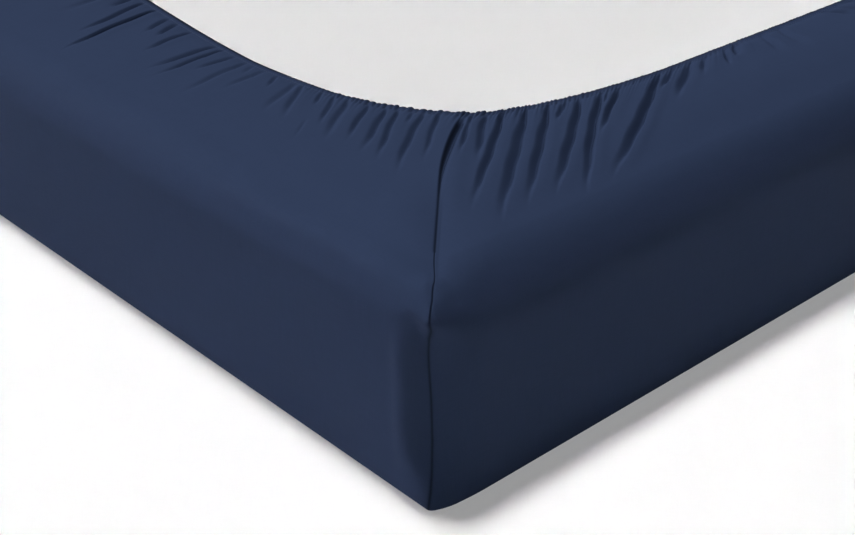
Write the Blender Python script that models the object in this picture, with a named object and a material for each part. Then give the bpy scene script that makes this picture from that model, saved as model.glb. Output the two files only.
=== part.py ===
"""Fitted sheet on a mattress that lies with its underside up, so the gathered hem shows.

The cloth is one closed shell. Its flat panel lies on the floor, its skirt goes up the
mattress's sides and over the edges, and its hem runs round the open middle. Each fold
starts at the hem and runs out along a column, a straight line in plan from a place on the
hem to a place near the mattress's edge. Near the sewn corners the columns lean towards
the corner seam.

Metres, +Z up, +X along the mattress. The origin is the middle of the underside.
"""

import math
import random
from collections import namedtuple

import bmesh
import bpy

# ---------------------------------------------------------------- driving dimensions
LENGTH = 2.000  # over the cloth, along X
WIDTH = 1.400  # over the cloth, along Y
HEIGHT = 0.200  # floor to the cloth on the mattress's upper edge
CLOTH = 0.002  # thickness of the sheet
HEM_THICKNESS = 0.003  # the hem is folded double round its elastic
EDGE_GAP = 0.002  # between cloth and mattress at the sides and edges
REST_GAP = 0.0003  # between the flat panel and the mattress that lies on it

# Rounding of the covered block, measured outside the cloth
PLAN_RADIUS_TOP = 0.045  # from the middle of the wall up
PLAN_RADIUS_BOTTOM = 0.018
PLAN_RADIUS_LEAST = 0.012
EDGE_RADIUS_BOTTOM = 0.007
EDGE_RADIUS_TOP = {"long": 0.024, "end": 0.046}
MATTRESS_RADIUS_BOTTOM = 0.008
EDGE_STEPS_TOP = 3
EDGE_STEPS_BOTTOM = 2

# The hem's opening is a rounded rectangle, drawn inwards along the long sides
HEM_INSET = 0.189
HEM_RADIUS = 0.225
HEM_BOW = {"long": 0.054, "end": 0.0}
HEM_BAND = 0.013  # rim to the hem's stitch line

# Levels of the cloth's outer face on the mattress
SHOULDER_INSET = 0.050  # where the folded area ends, in from the walls
SHOULDER_RADIUS = 0.030
SHOULDER_RISE = 0.0015  # above HEIGHT
FOLD_END_RISE = 0.0030
RIDGE_RISE = 0.0050
RIDGE_SPREAD = 0.0012  # ridges differ by this much with their depth, and by as much again
RIDGE_CYCLES = 37.0
LOWEST_TROUGH = HEIGHT - 0.0015
RIM_TROUGH = HEIGHT - 0.0004
RIM_RIDGE = HEIGHT + 0.0022
STITCH_RIDGE = HEIGHT + 0.0035
FOLD_BELLY = 0.45  # where along a fold its ridges are highest

# Slow waves in the skirt's walls
WAVE_HEIGHT = 0.0014
WAVE_COUNTS = (11, 18, 29)  # waves in one turn round the part

SHARP_ANGLE = math.radians(50)
NAVY = (0.028, 0.042, 0.098)
LIGHT_GREY = (0.74, 0.74, 0.74)

MATTRESS_TOP = HEIGHT - CLOTH - EDGE_GAP
SIDE_LENGTH = {"long": LENGTH / 2, "end": WIDTH / 2}  # half sides, from the sharp corner
HEM_ARC = HEM_RADIUS * math.pi / 4
HEM_REACH = HEM_INSET + HEM_RADIUS
HEM_LENGTH = {side: HEM_ARC + SIDE_LENGTH[side] - HEM_REACH for side in SIDE_LENGTH}

# ---------------------------------------------------------------- tables
# Where columns run: from the hem, measured along it from the corner seam, to the
# shoulder's outline, measured along the side from the mattress's corner.
Column = namedtuple("Column", "hem shoulder")
LEAN = {
    "long": (
        Column(0.000, 0.000),
        Column(0.026, 0.090),
        Column(0.066, 0.152),
        Column(0.095, 0.198),
        Column(0.140, 0.240),
        Column(0.185, 0.300),
        Column(0.235, 0.395),
        Column(0.310, 0.500),
        Column(0.400, 0.570),
        Column(HEM_LENGTH["long"], SIDE_LENGTH["long"]),
    ),
    "end": (
        Column(0.000, 0.000),
        Column(0.043, 0.070),
        Column(0.091, 0.144),
        Column(0.134, 0.180),
        Column(0.188, 0.213),
        Column(0.239, 0.250),
        Column(0.287, 0.312),
        Column(0.325, 0.380),
        Column(HEM_LENGTH["end"], SIDE_LENGTH["end"]),
    ),
}

# The main folds on both sides of the seam at +X -Y. A fold is a trough between two ridges:
# its place along the hem from the seam, how far it runs out, its half width and its depth.
Fold = namedtuple("Fold", "hem run half_width depth")
SEEN_FOLDS = {
    "end": (
        Fold(0.017, 0.100, 0.004, 0.0045),
        Fold(0.043, 0.210, 0.007, 0.0060),
        Fold(0.069, 0.235, 0.008, 0.0070),
        Fold(0.091, 0.215, 0.007, 0.0060),
        Fold(0.113, 0.060, 0.005, 0.0035),
        Fold(0.134, 0.218, 0.007, 0.0060),
        Fold(0.160, 0.225, 0.007, 0.0055),
        Fold(0.188, 0.142, 0.006, 0.0060),
        Fold(0.212, 0.050, 0.005, 0.0035),
        Fold(0.239, 0.223, 0.009, 0.0075),
        Fold(0.265, 0.090, 0.006, 0.0045),
        Fold(0.287, 0.120, 0.006, 0.0050),
        Fold(0.313, 0.071, 0.006, 0.0040),
    ),
    "long": (
        Fold(0.026, 0.112, 0.004, 0.0035),
        Fold(0.042, 0.140, 0.005, 0.0045),
        Fold(0.064, 0.122, 0.005, 0.0050),
        Fold(0.080, 0.111, 0.004, 0.0045),
        Fold(0.097, 0.094, 0.005, 0.0045),
        Fold(0.120, 0.108, 0.006, 0.0045),
        Fold(0.142, 0.084, 0.006, 0.0040),
        Fold(0.176, 0.094, 0.006, 0.0045),
        Fold(0.194, 0.084, 0.006, 0.0050),
        Fold(0.235, 0.067, 0.006, 0.0045),
        Fold(0.269, 0.110, 0.007, 0.0055),
        Fold(0.289, 0.062, 0.005, 0.0040),
        Fold(0.310, 0.107, 0.007, 0.0060),
        Fold(0.333, 0.097, 0.007, 0.0055),
        Fold(0.388, 0.079, 0.007, 0.0050),
        Fold(0.426, 0.057, 0.006, 0.0050),
        Fold(0.448, 0.058, 0.006, 0.0050),
    ),
}
SEAM_FOLD = Fold(0.0, 0.170, 0.009, 0.0090)

# The corners in order round the part, each with the half sides before and after it
Corner = namedtuple("Corner", "x y before after")
CORNERS = (
    Corner(1, -1, "long", "end"),
    Corner(1, 1, "end", "long"),
    Corner(-1, 1, "long", "end"),
    Corner(-1, -1, "end", "long"),
)
TURN = 2.0 * len(CORNERS)  # a key counts half sides round the part

FOLD_SEED = 20
FOLD_FIRST = 0.022  # hem distance from a seam to the next fold
FOLD_PITCH = (0.024, 0.044)
FOLD_DEPTH = (0.0035, 0.0075)
FOLD_WIDTH_SHARE = 0.28  # half width, as a share of the pitch
FOLD_RUN_NEAR_SEAM = (0.09, 0.22)
FOLD_RUN_MID_SIDE = (0.05, 0.13)
FOLD_END_MARGIN = 0.015  # a fold stops this far before its column ends
NEIGHBOUR_SHARE = 0.42  # a ridge keeps out of this share of the way to the next fold

# Places of the wall's columns, from the sharp corner
WALL_STEPS_CORNER = (0.012, 0.024, 0.036, 0.050)
WALL_STEP_FIRST = 0.100
WALL_STEP = 0.120


# ---------------------------------------------------------------- plan geometry
def plan_point(corner, p, q):
    """X and Y of a place that lies p in from the end face and q in from the long face."""
    return corner.x * (LENGTH / 2 - p), corner.y * (WIDTH / 2 - q)


def outline(side, along, inset, radius):
    """Place (p, q) on a rounded rectangle; along runs on a half side from its corner."""
    reach = inset + radius
    if along >= reach:
        p, q = along, inset
    else:
        turn = math.radians(45.0 * along / reach - 135.0)
        p, q = reach + radius * math.cos(turn), reach + radius * math.sin(turn)
    return (p, q) if side == "long" else (q, p)


def hem_outline(side, distance):
    """Place (p, q) on the hem's rim, at a distance along it from the corner seam."""
    if distance < HEM_ARC:
        turn = distance / HEM_RADIUS - math.radians(135.0)
        p, q = HEM_REACH + HEM_RADIUS * math.cos(turn), HEM_REACH + HEM_RADIUS * math.sin(turn)
    else:
        share = (distance - HEM_ARC) / (HEM_LENGTH[side] - HEM_ARC)
        p = HEM_REACH + distance - HEM_ARC
        q = HEM_INSET + HEM_BOW[side] * math.sin(share * math.pi / 2) ** 2
    return (p, q) if side == "long" else (q, p)


def shoulder_distance(side, hem):
    """Where on the shoulder's outline the column from this place on the hem ends."""
    for low, high in zip(LEAN[side], LEAN[side][1:]):
        if hem <= high.hem:
            break
    share = (hem - low.hem) / (high.hem - low.hem)
    return low.shoulder + share * (high.shoulder - low.shoulder)


def loop_key(number, before, share):
    """Place round the part: a corner has an even key, the middle of a side an odd one."""
    return (2.0 * number + (-share if before else share)) % TURN


# ---------------------------------------------------------------- folds
def seeded_folds(side, start, chance):
    """Uneven folds from a place on the hem to the middle of the side."""
    folds = []
    hem = start
    last = HEM_LENGTH[side] - FOLD_FIRST / 2
    while hem < last:
        pitch = chance.uniform(*FOLD_PITCH)
        near_seam = max(0.0, 1.0 - hem / HEM_LENGTH[side])
        shortest = FOLD_RUN_MID_SIDE[0] + near_seam * (FOLD_RUN_NEAR_SEAM[0] - FOLD_RUN_MID_SIDE[0])
        longest = FOLD_RUN_MID_SIDE[1] + near_seam * (FOLD_RUN_NEAR_SEAM[1] - FOLD_RUN_MID_SIDE[1])
        run = chance.uniform(shortest, longest)
        folds.append(Fold(hem, run, FOLD_WIDTH_SHARE * pitch, chance.uniform(*FOLD_DEPTH)))
        hem += pitch
    return folds


Station = namedtuple("Station", "key rim shoulder fold is_trough shoulder_key")


def column_station(number, before, hem, fold, is_trough):
    """One column of the folded area, from its place on the rim to the shoulder's outline."""
    corner = CORNERS[number]
    side = corner.before if before else corner.after
    along = shoulder_distance(side, hem)
    return Station(
        loop_key(number, before, hem / HEM_LENGTH[side]),
        plan_point(corner, *hem_outline(side, hem)),
        plan_point(corner, *outline(side, along, SHOULDER_INSET, SHOULDER_RADIUS)),
        fold,
        is_trough,
        loop_key(number, before, along / SIDE_LENGTH[side]),
    )


def half_side_stations(number, before, chance):
    """The folds of one half side as columns, three to a fold, and one column between folds."""
    corner = CORNERS[number]
    side = corner.before if before else corner.after
    seen = SEEN_FOLDS[side] if number == 0 else ()
    start = seen[-1].hem + FOLD_FIRST if seen else FOLD_FIRST
    folds = list(seen) + seeded_folds(side, start, chance)
    places = [0.0] + [fold.hem for fold in folds] + [2 * HEM_LENGTH[side] - folds[-1].hem]
    stations = []
    for fold, earlier, later in zip(folds, places, places[2:]):
        inner = min(fold.half_width, NEIGHBOUR_SHARE * (fold.hem - earlier))
        outer = min(fold.half_width, NEIGHBOUR_SHARE * (later - fold.hem))
        for shift in (-inner, 0.0, outer):
            stations.append(column_station(number, before, fold.hem + shift, fold, shift == 0.0))
    between = [
        column_station(number, before, (one + two) / 2, None, False)
        for one, two in zip(places[:-1], places[1:-1])
    ]
    return stations, between


def seam_stations(number):
    """The deep fold along a corner seam, with the ridge of a half side on each flank."""
    width = SEAM_FOLD.half_width
    return [
        column_station(number, True, width, SEAM_FOLD, False),
        column_station(number, True, 0.0, SEAM_FOLD, True),
        column_station(number, False, width, SEAM_FOLD, False),
    ]


def folded_area_stations():
    """Every column of the folded area, and the columns between folds, in order of key."""
    chance = random.Random(FOLD_SEED)
    stations, between = [], []
    for number in range(len(CORNERS)):
        stations += seam_stations(number)
        for before in (True, False):
            more_stations, more_between = half_side_stations(number, before, chance)
            stations += more_stations
            between += more_between
    return sorted(stations, key=lambda s: s.key), sorted(between, key=lambda s: s.key)


def along_column(station, distance):
    """X and Y on a column, at a distance from the rim."""
    (x0, y0), (x1, y1) = station.rim, station.shoulder
    share = distance / math.hypot(x1 - x0, y1 - y0)
    return x0 + share * (x1 - x0), y0 + share * (y1 - y0)


def fold_run(station):
    """How far the station's fold runs out, kept short of the column's end."""
    (x0, y0), (x1, y1) = station.rim, station.shoulder
    return min(station.fold.run, math.hypot(x1 - x0, y1 - y0) - FOLD_END_MARGIN)


def ridge_level(station):
    """Top of the ridges beside a fold; a deep fold has high ridges, and all differ a little."""
    share = (station.fold.depth - FOLD_DEPTH[0]) / (FOLD_DEPTH[1] - FOLD_DEPTH[0])
    uneven = math.sin(RIDGE_CYCLES * station.key) / 2
    return HEIGHT + RIDGE_RISE + RIDGE_SPREAD * (share - 0.5 + uneven)


def fold_loops(stations):
    """The rim, the stitch line, the fold's belly and the fold's end, as (key, point) lists."""
    rim, stitch, belly, end = [], [], [], []
    for station in stations:
        run = fold_run(station)
        ridge = ridge_level(station)
        trough = max(LOWEST_TROUGH, ridge - station.fold.depth)
        is_trough = station.is_trough
        at_belly = HEM_BAND + FOLD_BELLY * (run - HEM_BAND)
        rim_z = RIM_TROUGH if is_trough else RIM_RIDGE
        stitch_z = (trough + LOWEST_TROUGH) / 2 if is_trough else STITCH_RIDGE
        rim.append((station.key, (*along_column(station, 0.0), rim_z)))
        stitch.append((station.key, (*along_column(station, HEM_BAND), stitch_z)))
        belly.append(
            (station.key, (*along_column(station, at_belly), trough if is_trough else ridge))
        )
        if is_trough:
            end_z = HEIGHT + FOLD_END_RISE
            end.append((station.key, (*along_column(station, run), end_z)))
    return rim, stitch, belly, end


# ---------------------------------------------------------------- walls and edges
WallPlace = namedtuple("WallPlace", "key number before side along")


def wall_places():
    """The wall's columns in order round the part; along runs from the sharp corner."""
    places = []
    for number, corner in enumerate(CORNERS):
        for before, side in ((True, corner.before), (False, corner.after)):
            half = SIDE_LENGTH[side]
            count = round((half - WALL_STEP_FIRST) / WALL_STEP)
            width = (half - WALL_STEP_FIRST) / count
            steps = [WALL_STEP_FIRST + width * i for i in range(count)]
            steps += WALL_STEPS_CORNER
            steps.append(half if before else 0.0)  # a middle and a corner have one column each
            for along in steps:
                key = loop_key(number, before, along / half)
                places.append(WallPlace(key, number, before, side, along))
    return sorted(places)


def edge_radius_top(side, along):
    """The upper edge is rounder on the end sides; the two radii blend at the corner."""
    mean = sum(EDGE_RADIUS_TOP.values()) / len(EDGE_RADIUS_TOP)
    share = min(1.0, along / (2 * PLAN_RADIUS_TOP))
    return mean + share * (EDGE_RADIUS_TOP[side] - mean)


def wall_wave(place, z):
    """Outward swell of the skirt, none at the floor and at the upper edge."""
    corner_at = (0.0, WIDTH, WIDTH + LENGTH, 2 * WIDTH + LENGTH)[place.number]
    around = corner_at + (-place.along if place.before else place.along)
    turn = 2 * math.pi * around / (2 * WIDTH + 2 * LENGTH)
    swell = sum(0.5 + 0.5 * math.sin(count * turn) for count in WAVE_COUNTS) / len(WAVE_COUNTS)
    return WAVE_HEIGHT * swell * math.sin(math.pi * z / HEIGHT) ** 2


def block_profile(low_radius, high_radius, offset, bottom, top):
    """(inset, z) rows up the wall, from the flat underside to the flat upper face."""
    rows = []
    for step in range(EDGE_STEPS_BOTTOM + 1):
        turn = math.pi / 2 * (1 - step / EDGE_STEPS_BOTTOM)
        rows.append((
            offset + low_radius * (1 - math.cos(turn)),
            bottom + low_radius * (1 - math.sin(turn)),
        ))
    rows.append((offset, HEIGHT / 2))
    for step in range(EDGE_STEPS_TOP + 1):
        turn = math.pi / 2 * step / EDGE_STEPS_TOP
        rows.append((
            offset + high_radius * (1 - math.cos(turn)),
            top - high_radius * (1 - math.sin(turn)),
        ))
    return rows


def block_loops(offset, low_radius, bottom, top, waves):
    """Loops of (key, point) up a rounded block that lies offset inside the cloth's face."""
    loops = []
    for place in wall_places():
        high_radius = edge_radius_top(place.side, place.along) - offset
        rows = block_profile(low_radius, high_radius, offset, bottom, top)
        loops = loops or [[] for _ in rows]
        for loop, (inset, z) in zip(loops, rows):
            rounding = min(1.0, 2 * z / HEIGHT)
            plan_radius = PLAN_RADIUS_BOTTOM + rounding * (PLAN_RADIUS_TOP - PLAN_RADIUS_BOTTOM)
            radius = max(PLAN_RADIUS_LEAST, plan_radius - inset)
            swell = wall_wave(place, z) if waves else 0.0
            p, q = outline(place.side, place.along, inset - swell, radius + swell)
            loop.append((place.key, (*plan_point(CORNERS[place.number], p, q), z)))
    return loops


# ---------------------------------------------------------------- mesh building
def lowered(loop, depth):
    return [(key, (x, y, z - depth)) for key, (x, y, z) in loop]


def add_loop(bm, loop):
    return [(key, bm.verts.new(point)) for key, point in loop]


def join_loops(bm, first, second):
    """Fill the strip between two loops of (key, vertex) with triangles, in order of key."""
    i = j = 0
    while i < len(first) or j < len(second):
        next_i, next_j = (i + 1) % len(first), (j + 1) % len(second)
        key_i = first[next_i][0] + (TURN if i + 1 >= len(first) else 0.0)
        key_j = second[next_j][0] + (TURN if j + 1 >= len(second) else 0.0)
        here_i, here_j = first[i % len(first)][1], second[j % len(second)][1]
        if i < len(first) and (key_i < key_j or j >= len(second)):
            bm.faces.new((here_i, first[next_i][1], here_j))
            i += 1
        else:
            bm.faces.new((here_i, second[next_j][1], here_j))
            j += 1


def cap_loop(bm, loop):
    """Close a flat loop with triangles."""
    face = bm.faces.new([vertex for _, vertex in loop])
    bmesh.ops.triangulate(bm, faces=[face])


def finish_object(bm, name, material):
    bmesh.ops.recalc_face_normals(bm, faces=bm.faces[:])
    mesh = bpy.data.meshes.new(name)
    bm.to_mesh(mesh)
    bm.free()
    mesh.materials.append(material)
    mesh.shade_smooth()
    mesh.set_sharp_from_angle(angle=SHARP_ANGLE)
    thing = bpy.data.objects.new(name, mesh)
    bpy.context.scene.collection.objects.link(thing)
    return thing


def plain_material(name, color, roughness):
    material = bpy.data.materials.new(name)
    material.use_nodes = True
    shader = material.node_tree.nodes["Principled BSDF"]
    shader.inputs["Base Color"].default_value = (*color, 1.0)
    shader.inputs["Roughness"].default_value = roughness
    shader.inputs["Metallic"].default_value = 0.0
    return material


# ---------------------------------------------------------------- sub-parts
def cloth_skin(bm, stations, between, depth):
    """One face of the cloth, from the rim down to the flat panel; returns the rim's loop."""
    rim, stitch, belly, end = fold_loops(stations)
    shoulder_z = HEIGHT + SHOULDER_RISE - depth
    shoulder = [(s.key, (*s.shoulder, shoulder_z)) for s in between]
    rim_depth = HEM_THICKNESS if depth else 0.0
    loops = [lowered(rim, rim_depth)] + [lowered(loop, depth) for loop in (stitch, belly, end)]
    folded = [add_loop(bm, loop) for loop in loops + [shoulder]]
    for first, second in zip(folded, folded[1:]):
        join_loops(bm, first, second)
    wall_loops = block_loops(depth, EDGE_RADIUS_BOTTOM - depth, depth, HEIGHT - depth, True)
    walls = [add_loop(bm, loop) for loop in wall_loops]
    top_loop = [(s.shoulder_key, vertex) for s, (_, vertex) in zip(between, folded[-1])]
    join_loops(bm, top_loop, walls[-1])
    for first, second in zip(walls, walls[1:]):
        join_loops(bm, first, second)
    cap_loop(bm, walls[0])
    return folded[0]


def make_fitted_sheet():
    """The whole sheet: an outer and an inner face, joined along the hem's rim."""
    stations, between = folded_area_stations()
    bm = bmesh.new()
    outer_rim = cloth_skin(bm, stations, between, 0.0)
    inner_rim = cloth_skin(bm, stations, between, CLOTH)
    join_loops(bm, outer_rim, inner_rim)
    material = plain_material("sheet_cotton", NAVY, 0.75)
    return finish_object(bm, "fitted_sheet", material)


def make_mattress():
    """The plain block that the sheet fits, a little inside the cloth all round."""
    offset = CLOTH + EDGE_GAP
    bm = bmesh.new()
    loops = block_loops(
        offset, MATTRESS_RADIUS_BOTTOM, CLOTH + REST_GAP, MATTRESS_TOP, False
    )
    rings = [add_loop(bm, loop) for loop in loops]
    for first, second in zip(rings, rings[1:]):
        join_loops(bm, first, second)
    cap_loop(bm, rings[0])
    cap_loop(bm, rings[-1])
    material = plain_material("mattress_cover", LIGHT_GREY, 0.85)
    return finish_object(bm, "mattress", material)


def main():
    for thing in list(bpy.data.objects):
        bpy.data.objects.remove(thing, do_unlink=True)
    make_fitted_sheet()
    make_mattress()


main()
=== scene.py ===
"""Looks of the fitted sheet on its mattress: the gathered cloth, its hem stitches, the mattress
cover, and a plain studio.

The cloth is built in rings round the part. A ring's vertices have keys: a corner seam has an even
key and the middle of a side an odd one, so rings with different spacings can be joined in order.
Heights in the folded area come from a table of folds, each a soft trough from the hem outwards.

Metres, +Z up, +X along the mattress. The origin is the middle of the underside.
"""

import math
from collections import namedtuple

import bpy
import numpy as np
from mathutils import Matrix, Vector

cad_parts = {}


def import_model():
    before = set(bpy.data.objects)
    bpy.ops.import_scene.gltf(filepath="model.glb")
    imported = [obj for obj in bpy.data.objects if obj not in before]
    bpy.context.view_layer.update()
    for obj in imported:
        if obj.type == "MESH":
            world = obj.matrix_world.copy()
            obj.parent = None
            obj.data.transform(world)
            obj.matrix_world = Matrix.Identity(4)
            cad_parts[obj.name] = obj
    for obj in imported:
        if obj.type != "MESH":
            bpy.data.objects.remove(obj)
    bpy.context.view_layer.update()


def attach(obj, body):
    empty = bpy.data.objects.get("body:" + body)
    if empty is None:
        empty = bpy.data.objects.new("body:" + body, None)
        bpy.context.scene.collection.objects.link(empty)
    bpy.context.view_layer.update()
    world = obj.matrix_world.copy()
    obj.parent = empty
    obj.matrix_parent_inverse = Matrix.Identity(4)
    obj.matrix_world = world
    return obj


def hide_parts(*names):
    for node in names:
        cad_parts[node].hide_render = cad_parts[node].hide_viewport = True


# -------- sizes, as in the solids
LENGTH = 2.000  # over the cloth, along X
WIDTH = 1.400  # over the cloth, along Y
HEIGHT = 0.200  # floor to the cloth on the mattress's upper edge
CLOTH = 0.002  # thickness of the sheet
MATTRESS_OFFSET = 0.004  # from the cloth's face to the mattress
MATTRESS_TOP = HEIGHT - MATTRESS_OFFSET
MATTRESS_BOTTOM = 0.0023

# The hem's opening is a rounded rectangle, drawn inwards along the long sides
HEM_INSET = 0.182
HEM_RADIUS = 0.200
HEM_BOW = 0.054
HEM_BAND = 0.0125  # rim to the hem's stitch line

# The shoulder is the outline where the folded area ends
SHOULDER_INSET = 0.050
SHOULDER_RADIUS = 0.030

# Rounding of the covered block
PLAN_RADIUS_HIGH = 0.054
PLAN_RADIUS_LEAST = 0.008
PLAN_RADIUS_GROWTH = 0.065  # height over which the corner grows rounder
LOW_RADIUS = 0.003
# Before each seam the corner of the cloth stands out above the wall, as a small pocket
POCKET_RADIUS = 0.010  # its plan radius
POCKET_LOW = 0.181  # where it is full: away from the seam, and so much higher at the seam
POCKET_RISE = 0.006
POCKET_EDGE = 0.012  # height over which it fades downwards before the seam, and more after it
POCKET_EDGE_AFTER = 0.045
# Plan radius on the floor, along the side before each seam and along the side after it
PLAN_RADIUS_BEFORE = np.array([0.009, 0.018, 0.022, 0.015])
PLAN_RADIUS_AFTER = np.array([0.027, 0.018, 0.014, 0.021])

SIDE_LENGTH = {"long": LENGTH / 2, "end": WIDTH / 2}  # half sides, from the sharp corner
HEM_ARC = HEM_RADIUS * math.pi / 4
HEM_REACH = HEM_INSET + HEM_RADIUS
HEM_LENGTH = {side: HEM_ARC + SIDE_LENGTH[side] - HEM_REACH for side in SIDE_LENGTH}
HEM_TURN = 4 * (HEM_LENGTH["long"] + HEM_LENGTH["end"])
QUARTER = math.pi / 2
ROOT_HALF = math.sqrt(0.5)

# -------- tables
# The corners in order round the part, each with the half sides before and after it
Corner = namedtuple("Corner", "x y before after")
CORNERS = (
    Corner(1, -1, "long", "end"),
    Corner(1, 1, "end", "long"),
    Corner(-1, 1, "long", "end"),
    Corner(-1, -1, "end", "long"),
)
CORNER_X = np.array([corner.x for corner in CORNERS])
CORNER_Y = np.array([corner.y for corner in CORNERS])
TURN = 2.0 * len(CORNERS)
HEM_PLACES = np.cumsum([0.0] + [2 * HEM_LENGTH[corner.after] for corner in CORNERS[:-1]])
WALL_PLACES = np.cumsum([0.0] + [2 * SIDE_LENGTH[corner.after] for corner in CORNERS[:-1]])
WALL_TURN = 2 * (LENGTH + WIDTH)

# Where columns run, in pairs: from the hem, measured along it from the corner seam, to the
# shoulder's outline, measured along the side from the mattress's corner
LEAN = {
    "long": (
        (0.000, 0.000),
        (0.026, 0.105),
        (0.066, 0.172),
        (0.095, 0.214),
        (0.140, 0.256),
        (0.185, 0.318),
        (0.235, 0.400),
        (0.310, 0.512),
        (0.400, 0.565),
        (HEM_LENGTH["long"], SIDE_LENGTH["long"]),
    ),
    "end": (
        (0.000, 0.000),
        (0.043, 0.066),
        (0.091, 0.136),
        (0.134, 0.176),
        (0.188, 0.212),
        (0.239, 0.245),
        (0.287, 0.296),
        (0.325, 0.362),
        (HEM_LENGTH["end"], SIDE_LENGTH["end"]),
    ),
}

# The folds that show at the corner +X -Y. A fold starts on the hem and heads for the shoulder,
# past the seam if that is negative. It has the run of its trough, the widths of its two walls,
# in order round the part, its depth and, where it isn't straight, its bend sideways. One with a
# start begins that far from the hem.
Fold = namedtuple("Fold", "hem shoulder run left right depth bend start", defaults=(0.0, 0.0))
END_FOLDS = (
    (0.022, -0.011, 0.100, 0.0045, 0.0020, 0.0045),
    (0.035, 0.074, 0.112, 0.0060, 0.0035, 0.0042),
    (0.052, 0.052, 0.205, 0.0070, 0.0025, 0.0068, 0.002),
    (0.075, 0.113, 0.228, 0.0095, 0.0028, 0.0076, 0.002),
    (0.098, 0.144, 0.208, 0.0077, 0.0030, 0.0070, 0.002),
    (0.117, 0.130, 0.055, 0.0039, 0.0025, 0.0038),
    (0.135, 0.177, 0.208, 0.0082, 0.0030, 0.0074, 0.003),
    (0.166, 0.222, 0.222, 0.0069, 0.0040, 0.0064, -0.003),
    (0.172, 0.224, 0.046, 0.0030, 0.0020, 0.0030),
    (0.194, 0.209, 0.136, 0.0056, 0.0022, 0.0068),
    (0.252, 0.248, 0.258, 0.0090, 0.0030, 0.0090, 0.006),
    (0.281, 0.253, 0.096, 0.0065, 0.0028, 0.0052),
    (0.303, 0.309, 0.130, 0.0080, 0.0040, 0.0052, 0.002),
    (0.327, 0.361, 0.080, 0.0075, 0.0040, 0.0040),
)
LONG_FOLDS = (
    (0.009, 0.094, 0.112, 0.0043, 0.0030, 0.0029),
    (0.022, 0.123, 0.142, 0.0064, 0.0030, 0.0040, -0.002),
    (0.033, 0.151, 0.036, 0.0030, 0.0020, 0.0019),
    (0.048, 0.147, 0.120, 0.0055, 0.0030, 0.0035),
    (0.060, 0.176, 0.108, 0.0068, 0.0030, 0.0037, 0.002),
    (0.078, 0.198, 0.088, 0.0051, 0.0030, 0.0032),
    (0.100, 0.222, 0.098, 0.0072, 0.0060, 0.0027),
    (0.117, 0.230, 0.074, 0.0047, 0.0030, 0.0025),
    (0.133, 0.257, 0.036, 0.0038, 0.0025, 0.0019),
    (0.126, 0.260, 0.118, 0.0034, 0.0016, 0.0012, 0.000, 0.064),
    (0.161, 0.280, 0.088, 0.0068, 0.0035, 0.0026),
    (0.170, 0.328, 0.080, 0.0076, 0.0060, 0.0021),
    (0.201, 0.330, 0.042, 0.0038, 0.0020, 0.0021),
    (0.217, 0.415, 0.070, 0.0059, 0.0045, 0.0020),
    (0.240, 0.385, 0.036, 0.0043, 0.0025, 0.0015),
    (0.249, 0.442, 0.110, 0.0068, 0.0050, 0.0023),
    (0.270, 0.482, 0.064, 0.0059, 0.0035, 0.0030),
    (0.295, 0.500, 0.108, 0.0051, 0.0022, 0.0034, 0.002),
    (0.308, 0.522, 0.100, 0.0085, 0.0030, 0.0045, 0.002),
    (0.363, 0.553, 0.084, 0.0064, 0.0030, 0.0039),
    (0.398, 0.539, 0.060, 0.0059, 0.0030, 0.0037),
    (0.418, 0.564, 0.064, 0.0064, 0.0030, 0.0038),
)
SEEN_FOLDS = {"end": END_FOLDS, "long": LONG_FOLDS}
SEEN_REACH = {"end": 0.350, "long": 0.450}  # seeded folds start here at the corner +X -Y

FOLD_FIRST = 0.016  # hem distance from an unseen seam to its first fold
FOLD_END_GAP = 0.008  # the last seeded fold stops short of the side's middle by this
FOLD_SEED = 20
RUFFLE_SEED = 7
NOISE_SEED = 11


# -------- small helpers
def smooth(value):
    """Soft step from 0 to 1."""
    value = np.clip(value, 0.0, 1.0)
    return value * value * (3.0 - 2.0 * value)


def bell(value):
    """Bell of height 1."""
    return np.exp(-value * value)


def blend(low, high, share):
    return low + share * (high - low)


def side_values(is_long, values):
    """One value for each column, from a pair for the long and the end sides."""
    return np.where(is_long, values["long"], values["end"])


# -------- columns and plan geometry
# place is a column's distance from the corner seam, sign -1 before the seam and 1 after it
Columns = namedtuple("Columns", "key corner is_long sign place")


def spaced(length, first, growth, far, near=None, reach=0.0):
    """Places from 0 to length: close together at 0, near apart up to reach, and far beyond."""
    places = [0.0]
    step = first
    while places[-1] + step < length:
        places.append(places[-1] + step)
        step = min(step * growth, near if places[-1] < reach else far)
    return np.array(places) * (length / places[-1])


def columns_at(lengths, places_at):
    """Columns at the places given for each half side, the half sides in order round the part."""
    parts = []
    for number, corner in enumerate(CORNERS):
        for sign, side in ((-1, corner.before), (1, corner.after)):
            places = places_at(number, side, sign)
            full = np.ones_like(places)
            key = 2.0 * number + sign * places / lengths[side]
            parts.append((key, number * full, (side == "long") * full, sign * full, places))
    key, corner, is_long, sign, place = (np.concatenate(values) for values in zip(*parts))
    return Columns(key, corner.astype(int), is_long > 0, sign, place)


def columns_round(lengths, spacing):
    """Columns in order round the part. A corner's own column counts as after its seam."""

    def places_at(number, side, sign):
        places = spacing(number, side, lengths[side])
        return places[:0:-1] if sign < 0 else places[:-1]

    return columns_at(lengths, places_at)


def world(columns, along, across):
    """X and Y of places given along a side from its corner and across from its face."""
    p = np.where(columns.is_long, along, across)
    q = np.where(columns.is_long, across, along)
    x = CORNER_X[columns.corner] * (LENGTH / 2 - p)
    return x, CORNER_Y[columns.corner] * (WIDTH / 2 - q)


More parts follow.
